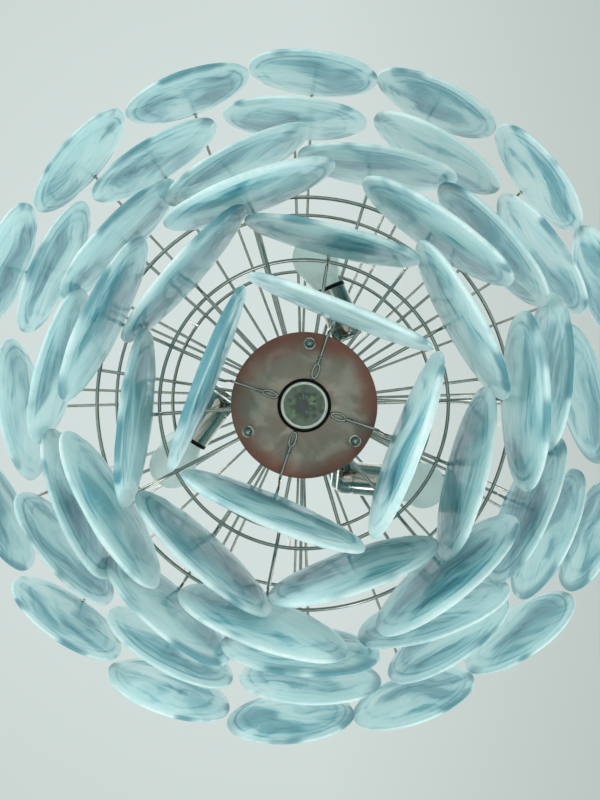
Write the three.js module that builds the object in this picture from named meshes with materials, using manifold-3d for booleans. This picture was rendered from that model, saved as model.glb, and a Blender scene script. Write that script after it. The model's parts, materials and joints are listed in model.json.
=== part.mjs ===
// Disc chandelier: 57 glass discs hung in six tiers on a chromed wire frame, with a cover plate, a
// spot lamp and six pear bulbs in the middle. Millimetres, +Z up. The origin is the top of the inside
// of the hanging eye, where the ceiling hook carries the whole lamp.
import * as THREE from 'three';
import { mergeVertices } from 'three/addons/utils/BufferGeometryUtils.js';
import Module from 'manifold-3d';

const wasm = await Module();
wasm.setup();

// ---------------------------------------------------------------- driving dimensions
const GAP = 0.3; // between pieces that rest on each other

const DISC_RADIUS = 80;
const DISC_MIDDLE = 10; // thickness at the middle
const DISC_RIM = 4.5; // thickness at the rim
const DISC_SIDES = 16;
const HOLE_RADIUS = 4;
const HOLE_RISE = 72; // from the disc's middle up to its hole

const WIRE_RADIUS = 1.8;
const WIRE_SIDES = 4;
const HOOK_RISE = HOLE_RISE + 2; // from the disc's middle up to the wire it hangs on
const HOOK_REACH = 8; // half the width of a hook's U

// Each tier: how many discs, their radius, the height of their middles, the angle of the first one
// and how far each disc is turned out of line. The second tier's discs also sit a few millimetres
// in or out, so that the ends of neighbours pass each other.
const TIERS = {
  1: { radius: 84, middle: -541, first: 18.5, yaws: [1.5, 4, 3, 3] },
  2: { radius: 155, middle: -467, first: 22.2, yaws: [-8, -2, 7, 10, -6, 4, 0.5], shifts: [-1.5, -4.5, 2, -5, 4, -6, 3.5] },
  3: { radius: 194, middle: -467, first: -1.8, yaws: [1, 1, 8, -3, 2, -5, -2] },
  4: { radius: 245, middle: -368, first: -7.4, yaws: [10, -1, 12, 3, 7, 2, 7, 2, -11, -8, -1] },
  5: { radius: 313, middle: -257, first: -1.6, yaws: [-10, -3, -2, 3, 1, -8, -7, -3, 0, 5, 2, -3] },
  6: { radius: 399, middle: -148, first: 2, yaws: [-5, 0, 8, 1, -6, -5, -11, -5, -1, -4, -6, 1, 4, 1, 5, 0] },
};

const INNER_RING = 142; // radius of the inner ring of the two middle wheels
const OUTER_RING = 203; // radius of their outer ring
const RING_SIDES = 32;
const CAGE_BARS = 3; // upright bars on each ring, between the lamps

const EYE_RADIUS = 14;
const EYE_WIRE = 3;
const STEM_RADIUS = 7;
const STEM_BORE = 4.5;
const STEM_TOP = -38;

const SPOKE_DROP = 10; // from a tier's spokes down to the wire that carries its discs
const LOWER_WHEEL = TIERS[2].middle + HOOK_RISE + SPOKE_DROP;
const UPPER_WHEEL = TIERS[4].middle + HOOK_RISE + SPOKE_DROP;
const FIFTH_WHEEL = TIERS[5].middle + HOOK_RISE + SPOKE_DROP;
const TOP_WHEEL = TIERS[6].middle + HOOK_RISE + SPOKE_DROP;
const HUB_RADIUS = 66; // of the two middle wheels
const HUB_HOLE = 40; // of the lower wheel, round the spot lamp
const HUB_THICKNESS = 4;
const SMALL_HUB_RADIUS = 18; // of the two top wheels
const SMALL_HUB_THICKNESS = 8;

const PLATE_RADIUS = 71;
const PLATE_THICKNESS = 2.5;
const PLATE_TOP = LOWER_WHEEL - 9;
const STUD_CIRCLE = 60;
const STUD_RADIUS = 3;
const STUD_ANGLES = [35, 155, 275];

const SPOT_RADIUS = 22.5;
const SPOT_RING_RADIUS = 24;
const SPOT_LENGTH = 46;

const ARM_LOOP_CIRCLE = 35; // where the loops of the lowest arms sit under the plate
const ARM_LOOP_RADIUS = 4.5;

const LAMP_COUNT = 3;
const LAMP_FIRST = -84; // angle of the first lower lamp's bulb
const HOLDER_RADIUS = 17;
const HOLDER_LENGTH = 56;
const BULB_RADIUS = 23.5;
const BULB_NECK = 13.5;
const BULB_LENGTH = 68;
const LAMP_PLACES = { // where a holder's base and the foot of its wire arm are: radius and turn
  lower: { base: 84, baseTurn: 29, foot: 90.6, footTurn: 22.6 },
  upper: { base: 91, baseTurn: 32, foot: 97, footTurn: 25.5 },
};
const LOWER_LAMPS = (LOWER_WHEEL + UPPER_WHEEL) / 2;
const UPPER_LAMPS = UPPER_WHEEL + 50;

// ---------------------------------------------------------------- materials
const chrome = new THREE.MeshStandardMaterial({ color: 0xc9d2cf, roughness: 0.12, metalness: 1 });
const glass = new THREE.MeshStandardMaterial({ color: 0xb5dcd8, roughness: 0.15, metalness: 0 });
const bronze = new THREE.MeshStandardMaterial({ color: 0x77695e, roughness: 0.4, metalness: 0.8 });
const blackMetal = new THREE.MeshStandardMaterial({ color: 0x151816, roughness: 0.4, metalness: 0.4 });
const dichroic = new THREE.MeshStandardMaterial({ color: 0x8fa89a, roughness: 0.08, metalness: 0.3 });
const frosted = new THREE.MeshStandardMaterial({ color: 0xcfd6cf, roughness: 0.5, metalness: 0 });

// ---------------------------------------------------------------- helpers
const radians = THREE.MathUtils.degToRad;

function toSolid(geometry) {
  const bare = geometry.clone();
  bare.deleteAttribute('normal');
  bare.deleteAttribute('uv');
  const merged = mergeVertices(bare, 1e-4);
  return new wasm.Manifold(new wasm.Mesh({
    numProp: 3,
    vertProperties: new Float32Array(merged.attributes.position.array),
    triVerts: new Uint32Array(merged.index.array),
  }));
}

function toGeometry(solid) {
  const mesh = solid.getMesh();
  const geometry = new THREE.BufferGeometry();
  geometry.setAttribute('position', new THREE.BufferAttribute(new Float32Array(mesh.vertProperties), 3));
  geometry.setIndex(new THREE.BufferAttribute(new Uint32Array(mesh.triVerts), 1));
  geometry.computeVertexNormals();
  return geometry;
}

function join(geometries) {
  return toGeometry(geometries.map(toSolid).reduce((whole, next) => whole.add(next)));
}

function cut(geometry, ...tools) {
  return toGeometry(tools.map(toSolid).reduce((rest, tool) => rest.subtract(tool), toSolid(geometry)));
}

function named(name, geometry, material) {
  const mesh = new THREE.Mesh(geometry, material);
  mesh.name = name;
  return mesh;
}

// An upright cylinder between two heights, its middle at (x, y).
function upright(radius, low, high, sides, x = 0, y = 0) {
  const geometry = new THREE.CylinderGeometry(radius, radius, high - low, sides);
  geometry.rotateX(Math.PI / 2);
  return geometry.translate(x, y, (low + high) / 2);
}

// A straight rod from one point to another.
function rod(start, end, radius = WIRE_RADIUS, sides = WIRE_SIDES) {
  const along = end.clone().sub(start);
  const geometry = new THREE.CylinderGeometry(radius, radius, along.length(), sides);
  const turn = new THREE.Quaternion().setFromUnitVectors(new THREE.Vector3(0, 1, 0), along.clone().normalize());
  geometry.applyQuaternion(turn);
  const middle = start.clone().add(end).multiplyScalar(0.5);
  return geometry.translate(middle.x, middle.y, middle.z);
}

// The middle line of a bent wire: straight between its corners, each mitred evenly.
class WirePath extends THREE.Curve {
  constructor(corners) {
    super();
    this.corners = corners;
  }

  getUtoTmapping(u) {
    return u;
  }

  getPoint(t) {
    const place = t * (this.corners.length - 1);
    const index = Math.min(Math.floor(place), this.corners.length - 2);
    return this.corners[index].clone().lerp(this.corners[index + 1], place - index);
  }

  getTangent(t) {
    const index = Math.round(t * (this.corners.length - 1));
    const tangent = new THREE.Vector3();
    for (const start of [index - 1, index]) {
      if (start < 0 || start > this.corners.length - 2) continue;
      tangent.add(this.corners[start + 1].clone().sub(this.corners[start]).normalize());
    }
    return tangent.normalize();
  }
}

// A wire bent through [radius, height] corners, in the upright plane of an angle.
function bentWire(points, angle) {
  const section = new THREE.Shape();
  for (let side = 0; side < WIRE_SIDES; side += 1) {
    const turn = (side / WIRE_SIDES) * 2 * Math.PI;
    const corner = [WIRE_RADIUS * Math.cos(turn), WIRE_RADIUS * Math.sin(turn)];
    if (side === 0) section.moveTo(...corner);
    else section.lineTo(...corner);
  }
  section.closePath();
  const path = new WirePath(points.map(([radius, height]) => polar(radius, angle, height)));
  return new THREE.ExtrudeGeometry(section, {
    steps: points.length - 1,
    extrudePath: path,
    bevelEnabled: false,
  });
}

function polar(radius, angle, height) {
  return new THREE.Vector3(radius * Math.cos(radians(angle)), radius * Math.sin(radians(angle)), height);
}

// A ring of round wire lying flat.
function wireRing(radius, height, sides = RING_SIDES) {
  return new THREE.TorusGeometry(radius, WIRE_RADIUS, WIRE_SIDES, sides).translate(0, 0, height);
}

function turned(profile, sides) {
  const points = profile.map(([radius, height]) => new THREE.Vector2(radius, height));
  return new THREE.LatheGeometry(points, sides).rotateX(Math.PI / 2);
}

function tierRadius(tier, index) {
  const { radius, shifts } = TIERS[tier];
  return shifts ? radius + shifts[index] : radius;
}

function tierAngle(tier, index) {
  return TIERS[tier].first + (360 / TIERS[tier].yaws.length) * index;
}

// ---------------------------------------------------------------- glass discs
// A lens of cast glass with a blunt rim and one hole, standing on edge and facing +X.
function discGeometry() {
  const lens = turned([
    [0, -DISC_MIDDLE / 2],
    [DISC_RADIUS, -DISC_RIM / 2],
    [DISC_RADIUS, DISC_RIM / 2],
    [0, DISC_MIDDLE / 2],
  ], DISC_SIDES);
  const hole = upright(HOLE_RADIUS, -DISC_MIDDLE, DISC_MIDDLE, 6, 0, HOLE_RISE);
  return cut(lens, hole).rotateZ(-Math.PI / 2).rotateY(Math.PI / 2).rotateX(Math.PI);
}

const disc = discGeometry();

function placeDisc(object, tier, index) {
  const { middle, yaws } = TIERS[tier];
  const angle = tierAngle(tier, index);
  object.position.copy(polar(tierRadius(tier, index), angle, middle));
  object.rotation.z = radians(angle + yaws[index]);
  return object;
}

function hangingDiscs(tier) {
  const group = new THREE.Group();
  for (let index = 0; index < TIERS[tier].yaws.length; index += 1) {
    const name = `disc_${tier}_${String(index + 1).padStart(2, '0')}`;
    group.add(placeDisc(named(name, disc, glass), tier, index));
  }
  return group;
}

// The discs of a whole tier as one piece, tied by a fine wire just under their holes.
function joinedTier(tier) {
  const { radius, middle, first, yaws } = TIERS[tier];
  const tie = new THREE.TorusGeometry(radius, 1, 3, yaws.length * 2);
  const pieces = [tie.rotateZ(radians(first)).translate(0, 0, middle + HOLE_RISE - 7)];
  for (let index = 0; index < yaws.length; index += 1) {
    const holder = placeDisc(new THREE.Object3D(), tier, index);
    holder.updateMatrix();
    pieces.push(disc.clone().applyMatrix4(holder.matrix));
  }
  return named(`discs_tier_${tier}`, join(pieces), glass);
}

// ---------------------------------------------------------------- wire wheels
// The U that carries a disc: it drops, passes through the disc's hole and turns up again.
function hookCorners(tier, index) {
  const radius = tierRadius(tier, index);
  const low = TIERS[tier].middle + HOOK_RISE;
  return [
    [radius - HOOK_REACH, low + 4],
    [radius - HOOK_REACH / 2, low],
    [radius + HOOK_REACH / 2, low],
    [radius + HOOK_REACH, low + 4],
    [radius + HOOK_REACH, low + 8],
  ];
}

// One straight spoke for each disc of a tier, with its end bent into the hook.
function spokes(tier, height, inner) {
  return [...TIERS[tier].yaws.keys()].map((index) => {
    const bend = tierRadius(tier, index) - HOOK_REACH - 2;
    return bentWire([[inner, height], [bend, height], ...hookCorners(tier, index)], tierAngle(tier, index));
  });
}

// The third tier's spokes run out to the outer ring, and each has its hook welded under it.
function outerRingSpokes() {
  const lead = [TIERS[3].radius - HOOK_REACH, LOWER_WHEEL];
  const corners = [lead, ...hookCorners(3, 0).slice(0, -1)];
  return [...TIERS[3].yaws.keys()].flatMap((index) => {
    const angle = tierAngle(3, index);
    const spoke = rod(polar(HUB_RADIUS - 3, angle, LOWER_WHEEL), polar(OUTER_RING, angle, LOWER_WHEEL));
    return [spoke, bentWire(corners, angle)];
  });
}

function bores(angles, circle, radius, low, high) {
  return angles.map((angle) => {
    const place = polar(circle, angle, 0);
    return upright(radius, low, high, 8, place.x, place.y);
  });
}

function topWheel(tier, height) {
  const hub = upright(SMALL_HUB_RADIUS, height - SMALL_HUB_THICKNESS / 2, height + SMALL_HUB_THICKNESS / 2, 24);
  const bore = upright(STEM_RADIUS + GAP, height - HUB_RADIUS, height + HUB_RADIUS, 16);
  return cut(join([hub, ...spokes(tier, height, SMALL_HUB_RADIUS - 3)]), bore);
}

function studBores(height) {
  return bores(STUD_ANGLES, STUD_CIRCLE, STUD_RADIUS + GAP, height - HUB_RADIUS, height + HUB_RADIUS);
}

function upperWheel() {
  const hub = upright(HUB_RADIUS, UPPER_WHEEL - HUB_THICKNESS / 2, UPPER_WHEEL + HUB_THICKNESS / 2, 32);
  const bore = upright(STEM_RADIUS + GAP, UPPER_WHEEL - HUB_RADIUS, UPPER_WHEEL + HUB_RADIUS, 16);
  const ringHeight = UPPER_WHEEL + WIRE_RADIUS;
  return cut(join([
    hub,
    ...spokes(4, UPPER_WHEEL, HUB_RADIUS - 3),
    wireRing(INNER_RING, ringHeight),
    wireRing(OUTER_RING, ringHeight),
  ]), bore, ...studBores(UPPER_WHEEL));
}

function lowerWheel() {
  const low = LOWER_WHEEL - HUB_THICKNESS / 2;
  const high = LOWER_WHEEL + HUB_THICKNESS / 2;
  const ringHeight = LOWER_WHEEL + WIRE_RADIUS;
  const barTop = UPPER_WHEEL - GAP - WIRE_RADIUS;
  const pieces = [
    upright(HUB_RADIUS, low, high, 32),
    ...spokes(2, LOWER_WHEEL, HUB_RADIUS - 3),
    ...outerRingSpokes(),
    wireRing(INNER_RING, ringHeight),
    wireRing(OUTER_RING, ringHeight),
  ];
  for (let index = 0; index < CAGE_BARS; index += 1) {
    const angle = LAMP_FIRST + (360 / CAGE_BARS) * (index + 0.5);
    pieces.push(rod(polar(INNER_RING, angle, ringHeight), polar(INNER_RING, angle, barTop)));
    pieces.push(rod(polar(OUTER_RING, angle + 30, ringHeight), polar(OUTER_RING, angle + 30, barTop)));
  }
  const lampHole = upright(HUB_HOLE, low - HUB_RADIUS, high + HUB_RADIUS, 24);
  return cut(join(pieces), lampHole, ...studBores(LOWER_WHEEL));
}

// ---------------------------------------------------------------- stem, eye and spacers
function eyeGeometry() {
  const ring = new THREE.TorusGeometry(EYE_RADIUS, EYE_WIRE, 6, 16).rotateX(Math.PI / 2);
  const ringMiddle = EYE_WIRE - EYE_RADIUS;
  const collarLow = STEM_TOP + GAP;
  return join([
    ring.translate(0, 0, ringMiddle),
    upright(STEM_RADIUS + 1, collarLow, ringMiddle - EYE_RADIUS, 16),
    upright(STEM_BORE - GAP, collarLow - 14, collarLow + 2, 12),
  ]);
}

function tube(outer, inner, low, high, sides) {
  return turned([[inner, low], [outer, low], [outer, high], [inner, high], [inner, low]], sides);
}

// ---------------------------------------------------------------- plate, studs and spot lamp
const PLATE_LOW = PLATE_TOP - PLATE_THICKNESS;

function plateGeometry() {
  const sheet = upright(PLATE_RADIUS, PLATE_LOW, PLATE_TOP, 40);
  const lampHole = upright(SPOT_RADIUS + 0.5, PLATE_LOW - 5, PLATE_TOP + 5, 24);
  return cut(sheet, lampHole, ...bores(STUD_ANGLES, STUD_CIRCLE, STUD_RADIUS + GAP, PLATE_LOW - 5, PLATE_TOP + 5));
}

function studGeometry(angle) {
  const place = polar(STUD_CIRCLE, angle, 0);
  const seat = UPPER_WHEEL + HUB_THICKNESS / 2 + GAP;
  return join([
    upright(STUD_RADIUS, PLATE_LOW - 4, seat + 1, 10, place.x, place.y),
    upright(STUD_RADIUS * 2, seat, seat + 5, 6, place.x, place.y),
  ]);
}

// A dome nut: a short hexagon with a round cap, blind from below.
function domeNutGeometry(angle) {
  const place = polar(STUD_CIRCLE, angle, 0);
  const seat = PLATE_LOW - GAP;
  const dome = new THREE.SphereGeometry(5, 12, 6).translate(place.x, place.y, seat - 4);
  const body = upright(5.5, seat - 4, seat, 12, place.x, place.y);
  const thread = upright(STUD_RADIUS + GAP, seat - 4.5, seat + 5, 10, place.x, place.y);
  return cut(join([dome, body]), thread);
}

// The black ring that holds the spot lamp's face against the plate.
function spotRingGeometry() {
  const low = PLATE_LOW - 4;
  return turned([
    [SPOT_RADIUS + GAP, low + 1.5],
    [SPOT_RING_RADIUS + 1, low],
    [SPOT_RING_RADIUS + 2, low + 2],
    [SPOT_RING_RADIUS + 2, PLATE_LOW - GAP],
    [SPOT_RADIUS + GAP, PLATE_LOW - GAP],
    [SPOT_RADIUS + GAP, low + 1.5],
  ], 24);
}

// A reflector lamp: a round glass face below, a bowl that narrows upwards, and its base.
function spotLampGeometry() {
  const face = PLATE_LOW - 2;
  return turned([
    [0, face - 1.5],
    [SPOT_RADIUS * 0.6, face - 1],
    [SPOT_RADIUS, face + 0.5],
    [SPOT_RADIUS, face + 5],
    [SPOT_RADIUS * 0.8, face + 16],
    [SPOT_RADIUS * 0.42, face + 27],
    [SPOT_RADIUS * 0.42, face + SPOT_LENGTH],
    [0, face + SPOT_LENGTH],
  ], 18);
}

function spotHolderGeometry() {
  const seat = PLATE_LOW - 2 + SPOT_LENGTH + GAP;
  return join([
    upright(13, seat, seat + 18, 20),
    rod(new THREE.Vector3(-HUB_HOLE - 6, 0, seat + 8), new THREE.Vector3(HUB_HOLE + 6, 0, seat + 8), 2, 8),
    upright(2, LOWER_WHEEL + HUB_THICKNESS / 2 + GAP, seat + 8, 8, HUB_HOLE + 5, 0),
    upright(2, LOWER_WHEEL + HUB_THICKNESS / 2 + GAP, seat + 8, 8, -HUB_HOLE - 5, 0),
  ]);
}

// ---------------------------------------------------------------- lowest arms
// A loop under the plate, a straight run out, a bend down and the hook of one lowest disc.
function lowestArm(index) {
  const angle = tierAngle(1, index);
  const height = PLATE_LOW - WIRE_RADIUS - GAP;
  const down = TIERS[1].radius - HOOK_REACH;
  const place = polar(ARM_LOOP_CIRCLE, angle, 0);
  return join([
    wireRing(ARM_LOOP_RADIUS, height, 10).translate(place.x, place.y, 0),
    bentWire([
      [ARM_LOOP_CIRCLE + ARM_LOOP_RADIUS, height],
      [down - 5, height],
      [down, height - 5],
      ...hookCorners(1, index),
    ], angle),
  ]);
}

// ---------------------------------------------------------------- pear bulbs and their holders
const holder = turned([
  [0, 0],
  [HOLDER_RADIUS, 4],
  [HOLDER_RADIUS, HOLDER_LENGTH],
  [BULB_NECK + GAP, HOLDER_LENGTH],
  [BULB_NECK + GAP, HOLDER_LENGTH - 12],
  [0, HOLDER_LENGTH - 12],
], 12);

const bulb = turned([
  [0, 0],
  [BULB_NECK, 0],
  [BULB_NECK, 16],
  [BULB_RADIUS * 0.9, 31],
  [BULB_RADIUS, 41],
  [BULB_RADIUS, 48],
  [BULB_RADIUS * 0.65, BULB_LENGTH - 5],
  [0, BULB_LENGTH],
], 12).translate(0, 0, HOLDER_LENGTH - 12 + GAP);

// A lamp lies flat: its base near the plate's edge, its bulb pointing outwards and round.
function lampGroup(level, angle, height, index) {
  const group = new THREE.Group();
  group.add(named(`lamp_holder_${level}_${index}`, holder, chrome));
  group.add(named(`bulb_${level}_${index}`, bulb, frosted));
  const { base, baseTurn } = LAMP_PLACES[level];
  group.position.copy(polar(base, angle + baseTurn, height));
  group.rotation.order = 'ZYX';
  group.rotation.y = Math.PI / 2;
  group.rotation.z = radians(angle - 30);
  return group;
}

// A collar on the stem with a wire arm to the side of each holder.
function lampBracket(level, collarLow, height) {
  const { foot, footTurn } = LAMP_PLACES[level];
  const collar = upright(SMALL_HUB_RADIUS - 4, collarLow, collarLow + 6, 20);
  const start = collarLow + 3;
  const pieces = [collar];
  const side = height > collarLow ? -1 : 1;
  const touch = height + side * (HOLDER_RADIUS + GAP);
  for (let index = 0; index < LAMP_COUNT; index += 1) {
    const around = LAMP_FIRST + footTurn + (360 / LAMP_COUNT) * index;
    pieces.push(rod(polar(SMALL_HUB_RADIUS - 7, around, start), polar(foot + 2.5, around, start), 2.5, 6));
    const post = polar(foot, around, 0);
    pieces.push(upright(2.5, Math.min(start, touch), Math.max(start, touch), 6, post.x, post.y));
  }
  return cut(join(pieces), upright(STEM_RADIUS + GAP, collarLow - 60, collarLow + 60, 16));
}

// ---------------------------------------------------------------- the whole lamp
const chandelier = new THREE.Group();
const stemLow = UPPER_WHEEL - 24;

chandelier.add(named('hanging_eye', eyeGeometry(), chrome));
chandelier.add(named('stem', tube(STEM_RADIUS, STEM_BORE, stemLow, STEM_TOP, 20), chrome));
chandelier.add(named('top_wheel', topWheel(6, TOP_WHEEL), chrome));
chandelier.add(named('fifth_wheel', topWheel(5, FIFTH_WHEEL), chrome));
chandelier.add(named('upper_wheel', upperWheel(), chrome));
chandelier.add(named('lower_wheel', lowerWheel(), chrome));

const spacerRadius = STEM_RADIUS + 3;
const hubHalf = SMALL_HUB_THICKNESS / 2 + GAP;
const bracketHigh = UPPER_LAMPS - HOLDER_RADIUS - 8;
const spacers = [
  ['spacer_top', FIFTH_WHEEL + hubHalf, TOP_WHEEL - hubHalf],
  ['spacer_middle', bracketHigh + 6 + GAP, FIFTH_WHEEL - hubHalf],
  ['spacer_bottom', UPPER_WHEEL + HUB_THICKNESS / 2 + GAP, bracketHigh - GAP],
  ['stem_nut', stemLow + 1, stemLow + 9],
];
for (const [name, low, high] of spacers) {
  chandelier.add(named(name, tube(spacerRadius, STEM_RADIUS + GAP, low, high, 16), chrome));
}

chandelier.add(named('cover_plate', plateGeometry(), bronze));
chandelier.add(named('spot_ring', spotRingGeometry(), blackMetal));
chandelier.add(named('spot_lamp', spotLampGeometry(), dichroic));
chandelier.add(named('spot_holder', spotHolderGeometry(), blackMetal));
STUD_ANGLES.forEach((angle, index) => {
  chandelier.add(named(`stud_${index + 1}`, studGeometry(angle), chrome));
  chandelier.add(named(`dome_nut_${index + 1}`, domeNutGeometry(angle), chrome));
});
for (const index of TIERS[1].yaws.keys()) {
  chandelier.add(named(`lowest_arm_${index + 1}`, lowestArm(index), chrome));
}

const lampStep = 360 / LAMP_COUNT;
for (let index = 0; index < LAMP_COUNT; index += 1) {
  chandelier.add(lampGroup('lower', LAMP_FIRST + lampStep * index, LOWER_LAMPS, index + 1));
  chandelier.add(lampGroup('upper', LAMP_FIRST + lampStep * index, UPPER_LAMPS, index + 1));
}
const bracketLow = UPPER_WHEEL - HUB_THICKNESS / 2 - GAP - 6;
chandelier.add(named('lamp_bracket_lower', lampBracket('lower', bracketLow, LOWER_LAMPS), chrome));
chandelier.add(named('lamp_bracket_upper', lampBracket('upper', bracketHigh, UPPER_LAMPS), chrome));

for (const tier of [1, 2, 3]) chandelier.add(hangingDiscs(tier));
for (const tier of [4, 5, 6]) chandelier.add(joinedTier(tier));

export default chandelier;
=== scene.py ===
# Disc chandelier: 57 marbled glass discs in six tiers on a chromed wire frame, seen from below.
# Metres, +Z up. The origin is the inside of the hanging eye, at the top of the stem.
import json
import math

import bmesh
import bpy
from mathutils import Matrix, Vector


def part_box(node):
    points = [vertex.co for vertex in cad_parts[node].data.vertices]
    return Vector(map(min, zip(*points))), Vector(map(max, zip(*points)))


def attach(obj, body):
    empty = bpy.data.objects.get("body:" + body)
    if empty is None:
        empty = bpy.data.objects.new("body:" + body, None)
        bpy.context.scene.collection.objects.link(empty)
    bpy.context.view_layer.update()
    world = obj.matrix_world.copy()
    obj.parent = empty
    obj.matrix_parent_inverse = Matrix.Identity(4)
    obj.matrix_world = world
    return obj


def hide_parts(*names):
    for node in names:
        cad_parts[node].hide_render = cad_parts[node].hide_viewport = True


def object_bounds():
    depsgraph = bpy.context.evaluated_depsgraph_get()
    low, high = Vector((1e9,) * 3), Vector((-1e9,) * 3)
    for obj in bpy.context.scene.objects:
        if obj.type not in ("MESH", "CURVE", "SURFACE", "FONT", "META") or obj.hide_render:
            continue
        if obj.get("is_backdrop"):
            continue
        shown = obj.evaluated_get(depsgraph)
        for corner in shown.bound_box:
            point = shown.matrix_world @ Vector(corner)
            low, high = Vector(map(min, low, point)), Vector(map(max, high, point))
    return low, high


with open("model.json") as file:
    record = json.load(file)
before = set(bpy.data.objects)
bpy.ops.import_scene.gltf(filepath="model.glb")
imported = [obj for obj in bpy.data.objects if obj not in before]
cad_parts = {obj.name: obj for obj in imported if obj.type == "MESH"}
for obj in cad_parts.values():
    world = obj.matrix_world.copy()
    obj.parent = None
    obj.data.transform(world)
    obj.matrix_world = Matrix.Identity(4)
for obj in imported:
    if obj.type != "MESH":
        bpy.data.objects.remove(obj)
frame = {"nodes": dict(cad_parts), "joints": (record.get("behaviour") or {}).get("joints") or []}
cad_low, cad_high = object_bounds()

scene = bpy.context.scene

# ---------------------------------------------------------------- camera
# A hand-held camera that looks almost straight up at the lamp, a little off its middle.
# The top of its picture points along -Y.
CAMERA_DROP = 0.644  # below the lowest disc
CAMERA_ASIDE = (-0.0115, -0.0285)
CAMERA_TILT = (0.0085, 0.0268, 1)
LENS = 40.5
SENSOR = 36
camera_data = bpy.data.cameras.new("camera")
camera_data.lens = LENS
camera_data.sensor_width = SENSOR
camera = bpy.data.objects.new("camera", camera_data)
scene.collection.objects.link(camera)
scene.camera = camera

backwards = -Vector(CAMERA_TILT).normalized()
sideways = Vector((0, -1, 0)).cross(backwards).normalized()
upwards = backwards.cross(sideways)
camera_turn = Matrix((sideways, upwards, backwards)).transposed().to_4x4()
camera_place = Matrix.Translation((*CAMERA_ASIDE, cad_low.z - CAMERA_DROP))
camera.matrix_world = camera_place @ camera_turn


# ---------------------------------------------------------------- marbled glass discs
# Each disc is a lens of clear and milky glass with teal drawn through it, cast in a round mould,
# polished and drilled once near its rim. It hangs by that hole on the hook of its wire.
DISC_RADIUS = 0.08
DISC_MIDDLE = 0.0105
DISC_RIM = 0.0048
HOLE_RADIUS = 0.004
HOLE_RISE = 0.072
HOOK_RISE = 0.074  # from a disc's middle up to the wire in its hole
DISC_SEGMENTS = 72
DRILL_SEGMENTS = 24
FACE_STEPS = 8
SHARP_ANGLE = 38
WAVE = 0.002
WAVE_SCALE = 26.0
TIERS = {  # metres, the angle of the first disc in degrees, and how far each disc is turned
    4: {"radius": 0.245, "first": -7.4, "yaws": [10, -1, 12, 3, 7, 2, 7, 2, -11, -8, -1]},
    5: {"radius": 0.313, "first": -1.6, "yaws": [-10, -3, -2, 3, 1, -8, -7, -3, 0, 5, 2, -3]},
    6: {
        "radius": 0.399,
        "first": 2,
        "yaws": [-5, 0, 8, 1, -6, -5, -11, -5, -1, -4, -6, 1, 4, 1, 5, 0],
    },
}


# A finish is a material whose nodes are written as sums. A value of it adds, subtracts and
# multiplies as a number does.
class Value:
    """One output of a node, with Python's own operators."""

    def __init__(self, finish, socket):
        self.finish = finish
        self.socket = socket

    def maths(self, operation, left, right):
        return self.finish.node("ShaderNodeMath", {"operation": operation}, {0: left, 1: right})

    def __add__(self, other):
        return self.maths("ADD", self, other)

    def __radd__(self, other):
        return self.maths("ADD", other, self)

    def __sub__(self, other):
        return self.maths("SUBTRACT", self, other)

    def __rsub__(self, other):
        return self.maths("SUBTRACT", other, self)

    def __mul__(self, other):
        return self.maths("MULTIPLY", self, other)

    def __rmul__(self, other):
        return self.maths("MULTIPLY", other, self)


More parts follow.
